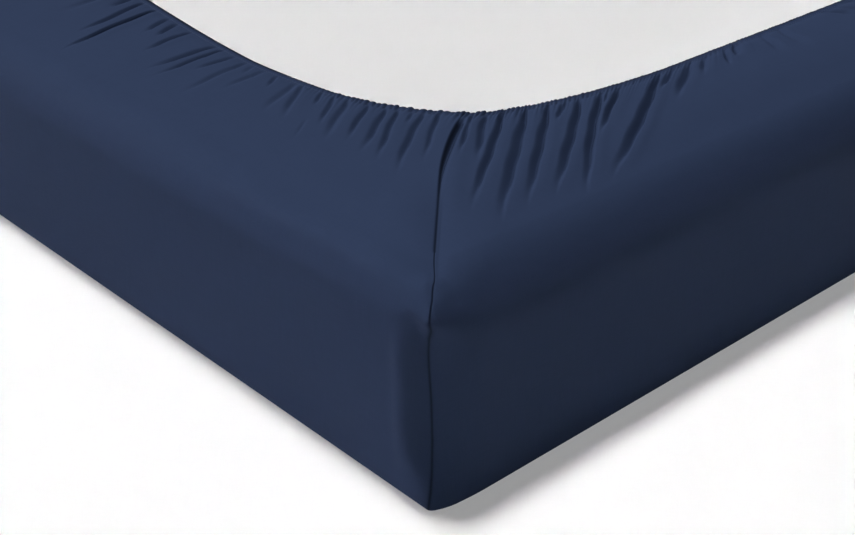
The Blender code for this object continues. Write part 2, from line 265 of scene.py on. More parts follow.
def outline(along, inset, radius, other_radius=None):
    """Place on a rounded rectangle, along a half side and across from its face."""
    other_radius = radius if other_radius is None else other_radius
    reach = inset + radius
    turn = np.radians(45.0 * np.minimum(along, reach) / reach - 135.0)
    on_arc = along < reach
    return (
        np.where(on_arc, reach + radius * np.cos(turn), along),
        np.where(on_arc, inset + other_radius * (1.0 + np.sin(turn)), inset),
    )


def hem_line(is_long, distance):
    """Place on the hem's rim, at a distance along it from the corner seam."""
    turn = np.minimum(distance, HEM_ARC) / HEM_RADIUS - math.radians(135.0)
    beyond = np.maximum(distance - HEM_ARC, 0.0)
    share = beyond / (side_values(is_long, HEM_LENGTH) - HEM_ARC)
    bow = np.where(is_long, HEM_BOW, 0.0) * np.sin(share * QUARTER) ** 2
    along = HEM_REACH + HEM_RADIUS * np.cos(turn) + beyond
    return along, HEM_REACH + HEM_RADIUS * np.sin(turn) + bow


def shoulder_place(is_long, hem):
    """Where on the shoulder's outline the column from this place on the hem ends."""
    return side_values(is_long, {side: np.interp(hem, *zip(*LEAN[side])) for side in LEAN})


def seam_frame(columns, x, y):
    """Distance from the sharp corner along its diagonal, and off it in order round the part."""
    corner_x, corner_y = CORNER_X[columns.corner], CORNER_Y[columns.corner]
    dx, dy = x - corner_x * LENGTH / 2, y - corner_y * WIDTH / 2
    inward = -(dx * corner_x + dy * corner_y) * ROOT_HALF
    return inward, (dy * corner_x - dx * corner_y) * ROOT_HALF


# How far a corner seam wanders off its diagonal, as a share of the seen seam's wander
SEAM_WANDER = np.array([1.0, -0.5, 0.7, -0.8])


def seam_offset(inward):
    """The seen seam runs a little to the left, then bends to the right near the hem."""
    return -0.0034 + 0.0185 * (np.maximum(inward - 0.2, 0.0) / 0.145) ** 2


def shift_to_seam(columns, x, y):
    """Move the columns beside a seam, so that the corner's own column follows the seam."""
    inward, off = seam_frame(columns, x, y)
    reach = 0.022 + 0.028 * smooth((inward - 0.10) / 0.08)
    shift = SEAM_WANDER[columns.corner] * seam_offset(inward) * bell(off / reach)
    x = x - shift * CORNER_Y[columns.corner] * ROOT_HALF
    return x, y + shift * CORNER_X[columns.corner] * ROOT_HALF


def insets(x, y):
    """Distances in from the nearest end side and from the nearest long side."""
    return LENGTH / 2 - np.abs(x), WIDTH / 2 - np.abs(y)


def edge_inset(x, y):
    """Distance in from the outline of the block."""
    p, q = insets(x, y)
    radius = SHOULDER_INSET + SHOULDER_RADIUS
    short_p, short_q = np.maximum(radius - p, 0.0), np.maximum(radius - q, 0.0)
    in_corner = (short_p > 0.0) & (short_q > 0.0)
    return np.where(in_corner, radius - np.hypot(short_p, short_q), np.minimum(p, q))


# -------- folds
Trough = namedtuple("Trough", "x y ux uy run left right depth bend start")


def make_trough(number, side, fold):
    """A fold in the part's own frame: its start, its direction and its sizes."""
    sign = 1 if side == CORNERS[number].after else -1
    columns = Columns(
        np.zeros(1), np.array([number]), np.array([side == "long"]), np.array([sign]), np.zeros(1)
    )
    x0, y0 = world(columns, *hem_line(columns.is_long, np.array([fold.hem])))
    place = np.array([abs(fold.shoulder)])
    across_seam = columns._replace(is_long=columns.is_long ^ (fold.shoulder < 0))
    x1, y1 = world(across_seam, *outline(place, SHOULDER_INSET, SHOULDER_RADIUS))
    dx, dy = (x1 - x0).item(), (y1 - y0).item()
    length = math.hypot(dx, dy)
    return Trough(x0.item(), y0.item(), dx / length, dy / length, *fold[2:])


def seeded_folds(side, start, chance):
    """Uneven folds from a place on the hem to the middle of the side."""
    folds = []
    hem = start
    while hem < HEM_LENGTH[side] - FOLD_END_GAP:
        pitch = chance.uniform(0.015, 0.036)
        near_seam = 1.0 - hem / HEM_LENGTH[side]
        run = chance.uniform(0.04 + 0.04 * near_seam, 0.12 + 0.11 * near_seam)
        shoulder = shoulder_place(np.array([side == "long"]), hem + chance.uniform(-0.012, 0.012))
        size = chance.uniform(0.0, 1.0)
        steep = chance.uniform(0.003, 0.0055)
        gentle = steep + 0.0045 * size
        left, right = (gentle, steep) if chance.uniform() < 0.6 else (steep, gentle)
        bend = chance.uniform(-0.004, 0.004)
        depth = 0.0028 + 0.0045 * size
        folds.append(Fold(hem, shoulder.item(), run, left, right, depth, bend))
        hem += pitch * (0.7 + 0.6 * size)
    return folds


def all_troughs():
    """Every fold: the seen ones, and seeded ones round the rest of the hem."""
    chance = np.random.RandomState(FOLD_SEED)
    troughs = []
    for number, corner in enumerate(CORNERS):
        for side in (corner.before, corner.after):
            seen = SEEN_FOLDS[side] if number == 0 else ()
            start = SEEN_REACH[side] if seen else FOLD_FIRST
            folds = [Fold(*row) for row in seen] + seeded_folds(side, start, chance)
            troughs += [make_trough(number, side, fold) for fold in folds]
    return troughs


def wall_share(distance, width):
    """Height share of a trough's wall: straight at the bottom and rounded at the crest."""
    share = np.minimum(distance / width, 1.0)
    slope = 4.0 / 3.0
    return np.where(share < 0.5, 1.0 - slope * share, slope * (1.0 - share) ** 2)


WAVER = 0.0005  # a trough's sideways waver, with its phase from its depth
WAVER_LENGTH = 0.058
CREST = 0.10  # height of the crest beside a right wall, as a share of the depth


def fold_relief(troughs, x, y, from_rim):
    """Depth of all folds at each point, with a low crest beside each right wall."""
    relief = np.zeros_like(x)
    at_stitches = smooth((from_rim - 0.009) / 0.016)
    for t in troughs:
        middle_x, middle_y = x - t.x - t.ux * t.run / 2, y - t.y - t.uy * t.run / 2
        near = np.hypot(middle_x, middle_y) < t.run / 2 + 0.035
        if not near.any():
            continue
        dx, dy = x[near] - t.x, y[near] - t.y
        along = dx * t.ux + dy * t.uy
        share = along / t.run
        across = dy * t.ux - dx * t.uy - t.bend * 4.0 * share * (1.0 - share)
        across = across + WAVER * np.sin(along * 2 * math.pi / WAVER_LENGTH + 900.0 * t.depth)
        if t.start:
            fade_in = smooth((along - t.start) / (0.35 * (t.run - t.start)))
        else:
            fade_in = at_stitches[near] * smooth((along + 0.026) / 0.020)
        fade = fade_in * (1.0 - smooth((share - 0.55) / 0.45))
        spread = (0.55 + 0.45 * smooth(share / 0.35)) * (1.0 - 0.3 * smooth((share - 0.6) / 0.4))
        distance = np.hypot(across, 0.0005) - 0.0005
        width = np.where(across < 0.0, t.left, t.right) * spread
        trough = wall_share(distance, width)
        crest = CREST * bell((across - t.right - 0.005) / 0.0055)
        relief[near] += t.depth * fade * (trough - crest)
    return relief


# -------- hem ruffles
RUFFLE_PITCH = 0.0056
RUFFLE_HEIGHT = 0.0042
SCALLOP = 0.0016  # how far the ruffles push the rim in and out


def make_ruffles():
    """Places of the small gathers round the hem, and the height and length of each."""
    chance = np.random.RandomState(RUFFLE_SEED)
    count = round(HEM_TURN / RUFFLE_PITCH)
    edges = np.concatenate([[0.0], np.cumsum(chance.uniform(0.65, 1.35, count))])
    heights = chance.uniform(0.45, 1.0, count)
    lengths = chance.uniform(0.003, 0.014, count)
    return edges * HEM_TURN / edges[-1], heights, lengths


RUFFLES = make_ruffles()


def ruffle_relief(columns, from_rim):
    """Small gathers of the hem: rounded ridges, which fade beyond the stitch line."""
    edges, heights, lengths = RUFFLES
    place = (HEM_PLACES[columns.corner] + columns.sign * columns.place) % HEM_TURN
    index = np.clip(np.searchsorted(edges, place, side="right") - 1, 0, len(heights) - 1)
    phase = (place - edges[index]) / (edges[index + 1] - edges[index])
    ridge = np.sqrt(np.abs(np.sin(math.pi * phase))) * heights[index]
    past = np.maximum(from_rim - HEM_BAND, 0.0)
    relief = ridge * np.exp(-past / lengths[index]) - 0.5 * np.exp(-past / 0.006)
    strength = 0.30 + 0.65 * bell(columns.place / 0.17) + 0.35 * bell(columns.place / 0.08)
    signed = columns.sign * columns.place
    calm_left = 1.0 - 0.85 * smooth((-signed - 0.10) / 0.12)
    calm_seam = 1.0 - 0.70 * bell((signed + 0.014) / 0.006)
    return relief * strength * np.where(columns.corner == 0, calm_left * calm_seam, 1.0)


# -------- the folded area
SWELL = 0.0030  # rise from the edge inwards
PUFF = 0.0034  # rise between the rim and the shoulder
UNEVENNESS = 0.0005
STITCH_DIP = 0.0012
RIM_DROP = 0.0021
GROOVE = 0.0008  # depth of the fine line of each seam
GROOVE_WIDTH = 0.0011
SEAM_DEPTH = 0.0092  # of the fold along a seam, near the hem
SEAM_PUFF = 0.0016
END_DROOP = 0.006
CORNER_DROOP = 0.010
VALLEY_DROOP = 0.0045
BEAD_DIP = 0.0030  # behind the bead along a long side's edge


def swell(inset):
    """The cloth rises softly from the edge inwards."""
    return SWELL * smooth((inset - 0.015) / 0.075)


def uneven(x, y):
    """Slow unevenness of the cloth's level."""
    chance = np.random.RandomState(NOISE_SEED)
    total = np.zeros_like(x)
    waves = 7
    for _ in range(waves):
        turn, wave = chance.uniform(0.0, math.pi), chance.uniform(0.05, 0.16)
        phase = chance.uniform(0, 6)
        total += np.sin((x * math.cos(turn) + y * math.sin(turn)) * 2 * math.pi / wave + phase)
    return total / waves


def lowest_level(rise):
    """Troughs flatten softly where they reach the mattress."""
    floor, soft = -0.0016, 0.0004
    return floor + soft * np.logaddexp(0.0, (rise - floor) / soft)


def bead_share(place):
    """The bead along a long side's upper edge fades towards the corner and the middle."""
    return smooth(place / 0.03) * (1.0 - smooth((place - 0.20) / 0.20))


def droop(x, y):
    """The block sinks softly at its ends, its corners and along its seams, and behind the bead."""
    p, q = insets(x, y)
    ends = END_DROOP * (1.0 - smooth((p - 0.02) / 0.10)) * smooth((q - 0.02) / 0.12)
    corner = CORNER_DROOP * bell(np.hypot(p, q) / 0.050)
    inward, off = (p + q) * ROOT_HALF, np.abs(p - q) * ROOT_HALF
    valley = smooth((inward - 0.035) / 0.030) * (1.0 - smooth((inward - 0.13) / 0.07))
    valley = VALLEY_DROOP * valley * np.maximum(1.0 - off / 0.048, 0.0) ** 2
    return ends + corner + valley + BEAD_DIP * bell((q - 0.038) / 0.013) * bead_share(p)


def seam_valley(inward, off):
    """The deep fold along a corner seam near the hem, and its puffed flank on the right."""
    deep = smooth((inward - 0.150) / 0.130)
    off = off - 0.0025 * deep
    distance = np.hypot(off, 0.0004) - 0.0004
    left = blend(0.0015, 0.0036, deep)
    right = blend(0.003, 0.0068, deep)
    depth = SEAM_DEPTH * deep
    puff = SEAM_PUFF * smooth((inward - 0.10) / 0.08) * bell((off - 0.011) / 0.010)
    return puff - depth * wall_share(distance, np.where(off < 0.0, left, right))


def hem_overlap(columns):
    """How far the rim lies inside the rounded rectangle, most beside the corners."""
    place = columns.place
    beside = 0.0055 + 0.0095 * (1.0 - smooth((place - 0.12) / 0.15)) - 0.006 * bell(place / 0.05)
    return beside - np.where(columns.is_long, 0.0, 0.004) * smooth((place - 0.10) / 0.10)


def column_ends(columns):
    """Each column's place on the rim, its place on the shoulder, and the depth between them."""
    along0, across0 = hem_line(columns.is_long, columns.place)
    step = 0.0005
    along_a, across_a = hem_line(columns.is_long, columns.place + step)
    tangent_along, tangent_across = (along_a - along0) / step, (across_a - across0) / step
    inwards = hem_overlap(columns)
    along0, across0 = along0 - tangent_across * inwards, across0 + tangent_along * inwards
    place = shoulder_place(columns.is_long, columns.place)
    along1, across1 = outline(place, SHOULDER_INSET, SHOULDER_RADIUS)
    depth = (along1 - along0) * tangent_across - (across1 - across0) * tangent_along
    return (along0, across0), (along1, across1), depth


def folded_points(columns, troughs, share):
    """Points of the cloth on its columns, from the rim at share 0 to the shoulder at share 1."""
    start, end, depth = column_ends(columns)
    x, y = world(columns, blend(start[0], end[0], share), blend(start[1], end[1], share))
    inward, off = seam_frame(columns, x, y)
    x, y = shift_to_seam(columns, x, y)
    from_rim = share * depth
    inset = edge_inset(x, y)
    puff = PUFF * np.sin(math.pi * np.clip(share, 0.0, 1.0) ** 0.7)
    level = smooth(from_rim / 0.04) * smooth((1.0 - share) / 0.15)
    z = swell(inset) + puff + UNEVENNESS * uneven(x, y) * level
    z = z - edge_drop(x, y)
    z = z - STITCH_DIP * bell((from_rim - 0.0135) / 0.0045)
    z = z - RIM_DROP * smooth(1.0 - from_rim / 0.010)
    z = z - fold_relief(troughs, x, y, from_rim)
    below_hem = smooth((from_rim - 0.018) / 0.020)
    z = z + seam_valley(inward, off) * below_hem
    in_band = 0.55 + 0.45 * smooth(from_rim / HEM_BAND)
    z = z + RUFFLE_HEIGHT * in_band * ruffle_relief(columns, from_rim)
    # The seam's groove: its mask cuts the fine line and also paints shade into the cloth's colour
    groove_and_shade = bell(off / GROOVE_WIDTH) * blend(0.35, 1.0, below_hem)
    z = HEIGHT - droop(x, y) + lowest_level(z) - GROOVE * groove_and_shade
    return np.stack([x, y, z], axis=-1), groove_and_shade


def rim_scallop(columns, points):
    """The gathers also push the rim in and out a little."""
    start, end, _ = column_ends(columns)
    x0, y0 = world(columns, *start)
    x1, y1 = world(columns, *end)
    length = np.hypot(x1 - x0, y1 - y0)
    push = SCALLOP * ruffle_relief(columns, np.zeros_like(columns.place))
    points[..., 0] -= push * (x1 - x0) / length
    points[..., 1] -= push * (y1 - y0) / length
    return points


# -------- walls and edges
EDGE_RADIUS = 0.040  # of the upper edge at the corners; it grows rounder away from them


def long_edge_radius(place):
    return EDGE_RADIUS + 0.005 * smooth((place - 0.12) / 0.10)


def end_edge_radius(place):
    return EDGE_RADIUS + 0.012 * smooth(place / 0.06)


def arc_drop(inset, radius):
    """How far a rounded edge lies below the flat top."""
    short = np.maximum(radius - inset, 0.0)
    return radius - np.sqrt(np.maximum(radius * radius - short * short, 0.0))


def edge_drop(x, y):
    """The part of the edges' rounding that reaches into the folded area."""
    p, q = insets(x, y)
    return np.maximum(arc_drop(p, end_edge_radius(q)), arc_drop(q, long_edge_radius(p)))


FLAT_INSET = 0.048  # where the wall's rows begin
ARC_INSET = 0.044  # where the edge's rows begin, at the most


def wall_profile(radius_top, offset, steps):
    """Rows of (inset, z, turn of the normal) from the flat top, over the edge, to the floor."""
    flat, top, wall, low = steps
    inner = radius_top - offset
    low_radius = max(LOW_RADIUS, offset + 0.002)
    begin = np.minimum(radius_top, ARC_INSET)
    first_turn = np.arccos(1.0 - begin / radius_top)
    straight = np.zeros_like(radius_top)
    rows = []
    for step in range(flat):
        inset = blend(FLAT_INSET, begin, step / flat)
        rows.append((inset, HEIGHT - offset - arc_drop(inset, radius_top), straight + QUARTER))
    for step in range(top):
        turn = first_turn * (1 - step / top)
        z = HEIGHT - radius_top + inner * np.sin(turn)
        rows.append((radius_top - inner * np.cos(turn), z, turn))
    for step in range(wall):
        z = blend(HEIGHT - radius_top, low_radius, step / wall)
        rows.append((straight + offset, z, straight))
    for step in range(low + 1):
        turn = straight - QUARTER * step / low
        inner = low_radius - offset
        rows.append((low_radius - inner * np.cos(turn), low_radius + inner * np.sin(turn), turn))
    return rows


WAVE_HEIGHT = {"long": 0.0012, "end": 0.0004}
WAVE_COUNTS = (11, 18, 29)  # waves in one turn round the part
BEAD = 0.0024
PUCKER = 0.0003
FLANK = 0.0036  # how far the cloth stands proud just before a seam
END_FLARE = 0.0036  # how far the end sides stand out at the floor


def wall_relief(columns, radius_top, inset, z, turn):
    """How far the skirt stands proud: slow waves, a bead on the long edge, a flank by each seam."""
    around = 2 * math.pi * (WALL_PLACES[columns.corner] + columns.sign * columns.place) / WALL_TURN
    waves = sum(0.5 + 0.5 * np.sin(count * around) for count in WAVE_COUNTS) / 3
    mid_height = np.sin(math.pi * np.clip(z / HEIGHT, 0.0, 1.0)) ** 2
    waves = side_values(columns.is_long, WAVE_HEIGHT) * waves * mid_height
    past_middle = radius_top * (turn - math.pi / 4) + np.maximum(inset - radius_top, 0.0)
    bead_here = np.where(columns.is_long, bead_share(columns.place), 0.0)
    bead = BEAD * bead_here * bell(past_middle / 0.010)
    signed = columns.sign * columns.place
    pucker = PUCKER * np.sin(z * 2 * math.pi / 0.034 + 1.0) * bell((signed + 0.013) / 0.009)
    flank = smooth((signed + 0.052) / 0.018) - smooth((signed + 0.036) / 0.036)
    by_seam = pucker + FLANK * flank
    by_seam = by_seam * smooth((z - 0.02) / 0.03) * smooth((HEIGHT - 0.035 - z) / 0.02)
    return waves + bead * (turn > 0.0) + by_seam


# The seen seam's wander on the wall: heights, and how far after the corner's middle it runs there
WALL_SEAM_Z = (0.000, 0.020, 0.060, 0.100, 0.128, 0.150, 0.169, 0.187, 0.196, 0.200)
WALL_SEAM_SHIFT = (
    -0.0058, -0.0046, -0.0026, -0.0034, -0.0052,
    -0.0058, -0.0063, -0.0079, -0.0054, -0.0035,
)


def plan_radii(columns, z):
    """The corner's plan radii at a height, along the side before its seam and the side after."""
    height = smooth(z / PLAN_RADIUS_GROWTH)
    before = blend(PLAN_RADIUS_BEFORE[columns.corner], PLAN_RADIUS_HIGH, height)
    after = blend(PLAN_RADIUS_AFTER[columns.corner], PLAN_RADIUS_HIGH, height)
    signed = columns.sign * columns.place
    full = POCKET_LOW + POCKET_RISE * (1.0 - smooth(columns.place / 0.04))
    edge = blend(POCKET_EDGE, POCKET_EDGE_AFTER, smooth((signed + 0.020) / 0.030))
    pocket = smooth((z - full) / edge + 1.0) * (1.0 - 0.6 * smooth((z - 0.186) / 0.010))
    return blend(before, POCKET_RADIUS, pocket), after


def end_flare(columns, z):
    """The end sides stand out a little at the floor."""
    share = np.where(columns.is_long, 0.0, END_FLARE * smooth(columns.place / 0.055))
    return share * np.clip(1.0 - z / 0.12, 0.0, 1.0) ** 1.5


def wall_points(columns, offset, steps):
    """Rows of points down the wall, and how near each is to a seam, which sets the painted shade of
    its groove.
    """
    place = columns.place
    radius_top = np.where(columns.is_long, long_edge_radius(place), end_edge_radius(place))
    rows, painted_groove_shades = [], []
    signed = columns.sign * columns.place
    # The seam's groove on the wall: it cuts the fine line and paints shade into it
    groove_and_shade = bell(signed / 0.0013)
    for inset, z, turn in wall_profile(radius_top, offset, steps):
        before, after = plan_radii(columns, z)
        to_shoulder = smooth((inset - 0.020) / (SHOULDER_INSET - 0.020))
        before = blend(np.maximum(PLAN_RADIUS_LEAST, before - inset), SHOULDER_RADIUS, to_shoulder)
        after = blend(np.maximum(PLAN_RADIUS_LEAST, after - inset), SHOULDER_RADIUS, to_shoulder)
        moved = signed
        if offset == 0.0:
            proud = wall_relief(columns, radius_top, inset, z, turn)
            proud = proud - GROOVE * groove_and_shade * smooth((z - 0.001) / 0.004)
            z = z + swell(inset) * smooth(turn / QUARTER)
            inset = inset - proud * np.cos(turn)
            z = z + proud * np.sin(turn)
            inset = inset - end_flare(columns, z)
            mean = (before + after) / 2
            wander = np.interp(z, WALL_SEAM_Z, WALL_SEAM_SHIFT) * SEAM_WANDER[columns.corner]
            moved = signed + wander * bell(signed / 0.04) * (inset + mean) / (mean * math.pi / 4)
        now_before = moved < 0.0
        here = columns._replace(is_long=columns.is_long ^ (now_before != (columns.sign < 0)))
        own, other = np.where(now_before, before, after), np.where(now_before, after, before)
        x, y = world(here, *outline(np.abs(moved), inset, own, other))
        z = z - droop(x, y) * z / HEIGHT
        rows.append(np.stack([x, y, z], axis=-1))
        painted_groove_shades.append(groove_and_shade)
    return rows, painted_groove_shades


# -------- mesh building
def add_object(name, data):
    thing = bpy.data.objects.new(name, data)
    bpy.context.scene.collection.objects.link(thing)
    return thing


class Skin:
    """Vertices and faces of one mesh, built ring by ring from the hem outwards and down."""

    def __init__(self):
        self.points, self.cloth, self.faces = [], [], []
        self.count = 0

    def ring(self, columns, points, seam=0.0):
        """Add a ring of vertices; returns its keys and its first vertex."""
        inset_p, inset_q = insets(points[:, 0], points[:, 1])
        along = np.where(columns.is_long, points[:, 0], points[:, 1])
        across = points[:, 2] + np.where(columns.is_long, inset_q, inset_p)
        # seam is the share of painted shade at each vertex: in the seam grooves and along the hem's
        # rim
        seam = seam + np.zeros(len(points))
        self.points.append(points)
        self.cloth.append(np.stack([along, across, seam], axis=-1))
        first = self.count
        self.count += len(points)
        return columns.key, first

    def join(self, one, two, inside_out=False):
        """Fill the strip between two rings: quads where their keys agree, else triangles."""
        (keys_1, first_1), (keys_2, first_2) = one, two
        if len(keys_1) == len(keys_2) and np.allclose(keys_1, keys_2):
            here = np.arange(len(keys_1))
            after = np.roll(here, -1)
            quads = [here + first_1, here + first_2, after + first_2, after + first_1]
            faces = np.stack(quads, axis=-1).tolist()
        else:
            faces = self.zip_faces(one, two)
        self.faces += [face[::-1] for face in faces] if inside_out else faces

    def join_all(self, rings, inside_out=False):
        for one, two in zip(rings, rings[1:]):
            self.join(one, two, inside_out)

    @staticmethod
    def zip_faces(one, two):
        (keys_1, first_1), (keys_2, first_2) = one, two
        count_1, count_2 = len(keys_1), len(keys_2)
        next_1 = np.append(keys_1[1:], keys_1[0] + TURN).tolist()
        next_2 = np.append(keys_2[1:], keys_2[0] + TURN).tolist()
        faces = []
        i = j = 0
        while i < count_1 or j < count_2:
            here_1, here_2 = first_1 + i % count_1, first_2 + j % count_2
            if j >= count_2 or (i < count_1 and next_1[i] < next_2[j]):
                faces.append([here_1, here_2, first_1 + (i + 1) % count_1])
                i += 1
            else:
                faces.append([here_1, here_2, first_2 + (j + 1) % count_2])
                j += 1
        return faces

    def cap(self, ring, inside_out=False):
        keys, first = ring
        face = list(range(first, first + len(keys)))
        self.faces.append(face if inside_out else face[::-1])

    def finish(self, name, material):
        mesh = bpy.data.meshes.new(name)
        mesh.from_pydata(np.concatenate(self.points).tolist(), [], self.faces)
        cloth = mesh.attributes.new("cloth", "FLOAT_VECTOR", "POINT")
        cloth.data.foreach_set("vector", np.concatenate(self.cloth).astype(np.float32).ravel())
        mesh.materials.append(material)
        mesh.shade_smooth()
        mesh.validate()
        return add_object(name, mesh)


# -------- the sheet
HEM_ROWS = (0.0030, 0.0055, 0.0085, 0.0115, 0.0135, 0.0165, 0.0205, 0.0255, 0.0310)
# Painted shade darkens the hem's folded edge, as in the seam grooves: fully up to a distance, then
# it fades
RIM_SHADE_FULL = 0.006
RIM_SHADE_FADE = 0.004
FOLD_ROWS = 24
FOLD_ROW_GROWTH = 1.2
# Rows of the walls: on the flat top, over the edge, down the side and round the lower edge
OUTER_STEPS = (3, 14, 11, 3)
INNER_STEPS = (1, 8, 9, 2)
MATTRESS_STEPS = (1, 5, 3, 3)


def folded_spacing(near, far):
    """Columns of the folded area: near apart where the seen folds are, and far elsewhere."""

    def spacing(number, side, length):
        if number == 0:
            return spaced(length, 0.00025, 1.3, far, near, SEEN_REACH[side] + 0.04)
        return spaced(length, 0.0003, 1.4, far)

    return spacing


def wall_spacing(number, side, length):
    if number == 0:
        return spaced(length, 0.0005, 1.25, 0.012, 0.006, 0.60)
    return spaced(length, 0.0005, 1.35, 0.012)


def inner_spacing(number, side, length):
    return spaced(length, 0.003, 1.25, 0.050)


def rim_rows(skin, columns, troughs):
    """The hem's rounded rim, from its underside up to the band."""
    _, _, depth = column_ends(columns)
    top, _ = folded_points(columns, troughs, 0.0012 / depth)
    top = rim_scallop(columns, top)
    nose, _ = folded_points(columns, troughs, np.zeros_like(depth))
    nose = rim_scallop(columns, nose)
    under = nose.copy()
    low = MATTRESS_TOP + 0.0006
    nose[:, 2] = blend(low, top[:, 2], 0.45)
    under[:, 2] = low
    toward = top[:, :2] - under[:, :2]
    under[:, :2] += 0.7 * toward
    upper = top.copy()
    upper[:, :2] -= 0.75 * toward
    upper[:, 2] = blend(low, top[:, 2], 0.85)
    # The whole rim gets full painted shade
    return [skin.ring(columns, row, seam=1.0) for row in (under, nose, upper, top)]


def shoulder_keys(columns):
    """Keys of the columns' far ends, as places along the sides and not along the hem."""
    shoulder = shoulder_place(columns.is_long, columns.place)
    half = side_values(columns.is_long, SIDE_LENGTH)
    return 2.0 * columns.corner + columns.sign * shoulder / half


def outer_skin(skin, troughs):
    """The sheet's outer face; returns the ring under the rim."""
    hem = columns_round(HEM_LENGTH, folded_spacing(near=0.0011, far=0.0028))
    rings = rim_rows(skin, hem, troughs)
    _, _, depth = column_ends(hem)
    for distance in HEM_ROWS:
        points, groove_and_shade = folded_points(hem, troughs, distance / depth)
        if distance < 0.004:
            scalloped = rim_scallop(hem, points.copy())
            points = blend(points, scalloped, 0.5)
        # Painted shade: full along the rim, fading inwards, and in the seam grooves
        shade = 1.0 - smooth((distance - RIM_SHADE_FULL) / RIM_SHADE_FADE)
        shade = np.maximum(groove_and_shade, shade)
        rings.append(skin.ring(hem, points, seam=shade))
    folded = columns_round(HEM_LENGTH, folded_spacing(near=0.0012, far=0.0048))
    _, _, depth = column_ends(folded)
    first = (HEM_ROWS[-1] + 0.006) / depth
    for row in range(FOLD_ROWS):
        share = blend(first, 1.0, (row / (FOLD_ROWS - 1)) ** FOLD_ROW_GROWTH)
        points, groove_and_shade = folded_points(folded, troughs, share)
        # Painted shade in the seam grooves
        rings.append(skin.ring(folded, points, seam=groove_and_shade))
    skin.join_all(rings)
    walls = columns_round(SIDE_LENGTH, wall_spacing)
    rows, painted_groove_shades = wall_points(walls, 0.0, OUTER_STEPS)
    # Painted shade in the seam grooves on the walls
    wall_rings = [skin.ring(walls, row, seam=groove_and_shade) for row, groove_and_shade in zip(rows, painted_groove_shades)]
    skin.join((shoulder_keys(folded), rings[-1][1]), wall_rings[0])
    skin.join_all(wall_rings)
    skin.cap(wall_rings[-1])
    return rings[0]


def inner_skin(skin):
    """The hidden inner face, plain, under the lowest troughs; returns its ring at the rim."""
    hem = columns_round(HEM_LENGTH, inner_spacing)
    start, end, depth = column_ends(hem)
    rings = []
    for share in (0.004 / depth, 0.25, 0.5, 0.75, 1.0):
        x, y = world(hem, blend(start[0], end[0], share), blend(start[1], end[1], share))
        z = MATTRESS_TOP + 0.0008 - droop(x, y)
        rings.append(skin.ring(hem, np.stack([x, y, z], axis=-1)))
    skin.join_all(rings, inside_out=True)
    walls = columns_round(SIDE_LENGTH, inner_spacing)
    rows, _ = wall_points(walls, CLOTH, INNER_STEPS)
    wall_rings = [skin.ring(walls, row) for row in rows]
    skin.join((shoulder_keys(hem), rings[-1][1]), wall_rings[0], inside_out=True)
    skin.join_all(wall_rings, inside_out=True)
    skin.cap(wall_rings[-1], inside_out=True)
    return rings[0]


def make_sheet(troughs, material):
    skin = Skin()
    outer_rim = outer_skin(skin, troughs)
    inner_rim = inner_skin(skin)
    skin.join(outer_rim, inner_rim, inside_out=True)
    return skin.finish("sheet_cloth", material)


# -------- hem stitches
STITCH_PITCH = 0.0034
STITCH_LENGTH = 0.0025
STITCH_RADIUS = 0.00022
STITCH_SIDES = 6
# Rings of a stitch: place along it and girth, as shares of its length and its radius
STITCH_STATIONS = ((-0.5, 0.3), (-0.36, 0.9), (0.0, 1.1), (0.36, 0.9), (0.5, 0.3))


def stitch_ends(troughs, shift):
    """Where the stitches' ends lie, shifted along the hem from their middles."""

    def places_at(number, side, sign):
        count = round(HEM_LENGTH[side] / STITCH_PITCH)
        return (np.arange(count) + 0.5) * STITCH_PITCH + sign * shift

    columns = columns_at(HEM_LENGTH, places_at)
    _, _, depth = column_ends(columns)
    return folded_points(columns, troughs, HEM_BAND / depth)[0]


def make_stitches(troughs, material):
    """One row of stitches round the hem, each a small capsule that lies on the cloth."""
    half = STITCH_LENGTH / 2
    start, end = stitch_ends(troughs, -half), stitch_ends(troughs, half)
    middle, axis = (start + end) / 2, end - start
    axis /= np.linalg.norm(axis, axis=1, keepdims=True)
    sideways = np.cross(axis, [0.0, 0.0, 1.0])
    sideways /= np.linalg.norm(sideways, axis=1, keepdims=True)
    upward = np.cross(sideways, axis)
    points, sides = [], STITCH_SIDES
    for share, girth in STITCH_STATIONS:
        for side in range(sides):
            turn = 2 * math.pi * side / sides
            out = STITCH_RADIUS * girth * (math.cos(turn) * sideways + math.sin(turn) * upward)
            rise = STITCH_RADIUS * (0.9 - 1.2 * (2 * share) ** 2) * upward
            points.append(middle + share * STITCH_LENGTH * axis + out + rise)
    points = np.stack(points, axis=1)
    faces = []
    rings = len(STITCH_STATIONS)
    template = [
        [row * sides + s, row * sides + (s + 1) % sides,
         (row + 1) * sides + (s + 1) % sides, (row + 1) * sides + s]
        for row in range(rings - 1) for s in range(sides)
    ]
    template.append(list(range(sides))[::-1])
    template.append([(rings - 1) * sides + s for s in range(sides)])
    for number in range(len(middle)):
        base = number * rings * sides
        faces += [[base + v for v in face] for face in template]
    mesh = bpy.data.meshes.new("hem_stitches")
    mesh.from_pydata(points.reshape(-1, 3).tolist(), [], faces)
    mesh.materials.append(material)
    mesh.shade_smooth()
    return add_object("hem_stitches", mesh)


# -------- mattress
def mattress_spacing(number, side, length):
    return spaced(length, 0.004, 1.4, 0.025)


